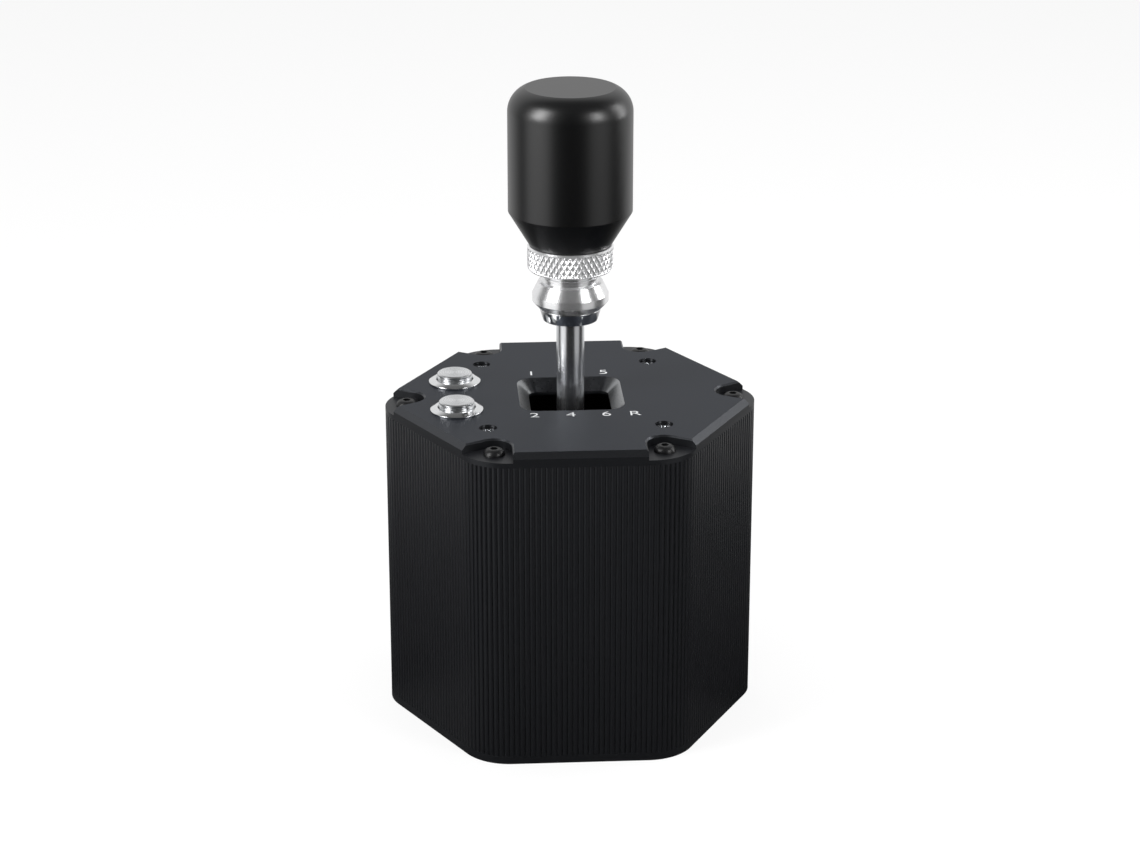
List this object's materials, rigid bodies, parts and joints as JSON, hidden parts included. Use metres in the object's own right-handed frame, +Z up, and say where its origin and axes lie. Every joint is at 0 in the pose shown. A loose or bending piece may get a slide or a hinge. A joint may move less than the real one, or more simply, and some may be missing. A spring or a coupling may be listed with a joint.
{
  "type": "sim racing gear shifter",
  "caption": "Hexagonal desk or rig mounted gear lever for driving games: a gated round-knob lever swings and presses in a ribbed metal housing with push buttons on its lid.",
  "frame": {"origin": "middle of the housing's underside", "axes": "+Z up along the lever, -Y towards the driver, +X to the driver's right"},
  "size_m": [0.133, 0.12, 0.23],
  "materials": {
    "black_anodised": "fine ribbed black anodise",
    "lid_anodised": "bead-blasted dark blue-grey anodise",
    "bright_steel": "turned bright steel",
    "polished_steel": "polished stainless",
    "black_steel": "black oxide",
    "knob_black": "satin black",
    "mill_aluminium": "milled",
    "bronze": "oiled bronze",
    "spring_steel": "drawn wire",
    "board_green": "solder resist",
    "black_plastic": "moulded",
    "rubber_black": "soft matt",
    "magnet_nickel": "nickel plate",
    "lead_grey": "soft sheath"
  },
  "bodies": {
    "housing": {"base_plate": "black_anodised", "housing_tube": "black_anodised", "lid": "lid_anodised", "corner_screws": "black_steel", "base_screws": "black_steel", "mounting_nuts": "bright_steel", "mechanism_screws": "polished_steel", "upper_pillars": "mill_aluminium", "lower_pillars": "mill_aluminium", "gimbal_frame": "mill_aluminium", "trunnion_bushes": "bronze", "gate_plate": "bright_steel", "gate_screws": "black_steel", "detent_bracket": "bright_steel", "bracket_screws": "black_steel", "detent_plunger": "bright_steel", "detent_spring": "spring_steel", "main_board": "board_green", "board_posts": "bright_steel", "board_screws": "black_steel", "hall_sensors": "black_plastic", "lead_connector": "black_plastic", "data_socket": "polished_steel", "button_nuts": "bright_steel", "button_boots": "rubber_black", "front_button_body": "polished_steel", "front_button_spring": "spring_steel", "front_button_lead": "lead_grey", "rear_button_body": "polished_steel", "rear_button_spring": "spring_steel", "rear_button_lead": "lead_grey"},
    "yoke": {"yoke": "mill_aluminium", "left_trunnion": "bright_steel", "right_trunnion": "bright_steel", "left_trunnion_washer": "bright_steel", "left_trunnion_screw": "black_steel", "right_trunnion_washer": "bright_steel", "right_trunnion_screw": "black_steel", "detent_sector": "bright_steel", "select_bushes": "bronze", "left_centring_spring": "spring_steel", "right_centring_spring": "spring_steel"},
    "block": {"lever_block": "mill_aluminium", "select_pins": "bright_steel", "shaft_bushes": "bronze", "press_spring": "spring_steel"},
    "lever": {"lever_shaft": "polished_steel", "spring_collar": "black_steel", "stop_ring": "bright_steel", "guide_pin": "bright_steel", "position_magnet": "magnet_nickel", "collet_cone": "polished_steel", "knob_adapter": "polished_steel", "lock_ring": "polished_steel", "knob": "knob_black"},
    "front_button": {"front_button_cap": "polished_steel"},
    "rear_button": {"rear_button_cap": "polished_steel"},
    "ball": {"detent_ball": "polished_steel"}
  },
  "joints": [
    {"name": "gear_swing", "type": "hinge", "parent": "housing", "child": "yoke", "pos_m": [0, 0, 0.07], "axis": [1, 0, 0], "range_deg": [-9, 9]},
    {"name": "lane_swing", "type": "hinge", "parent": "yoke", "child": "block", "pos_m": [0, 0, 0.07], "axis": [0, 1, 0], "range_deg": [-9, 9], "stiffness_Nm_per_rad": 1.5, "deforming": ["left_centring_spring", "right_centring_spring"]},
    {"name": "lever_press", "type": "slide", "parent": "block", "child": "lever", "axis": [0, 0, 1], "range_m": [-0.004, 0], "stiffness_N_per_m": 1500, "springref_m": 0.004, "deforming": ["press_spring"]},
    {"name": "front_button_press", "type": "slide", "parent": "housing", "child": "front_button", "axis": [0, 0, 1], "range_m": [-0.0015, 0], "stiffness_N_per_m": 1500, "springref_m": 0.001, "deforming": ["front_button_spring"]},
    {"name": "rear_button_press", "type": "slide", "parent": "housing", "child": "rear_button", "axis": [0, 0, 1], "range_m": [-0.0015, 0], "stiffness_N_per_m": 1500, "springref_m": 0.001, "deforming": ["rear_button_spring"]},
    {"name": "detent_ride", "type": "slide", "parent": "housing", "child": "ball", "axis": [0, 0, 1], "range_m": [-0.0008, 0], "stiffness_N_per_m": 2000, "springref_m": 0.0004, "deforming": ["detent_spring"]}
  ]
}
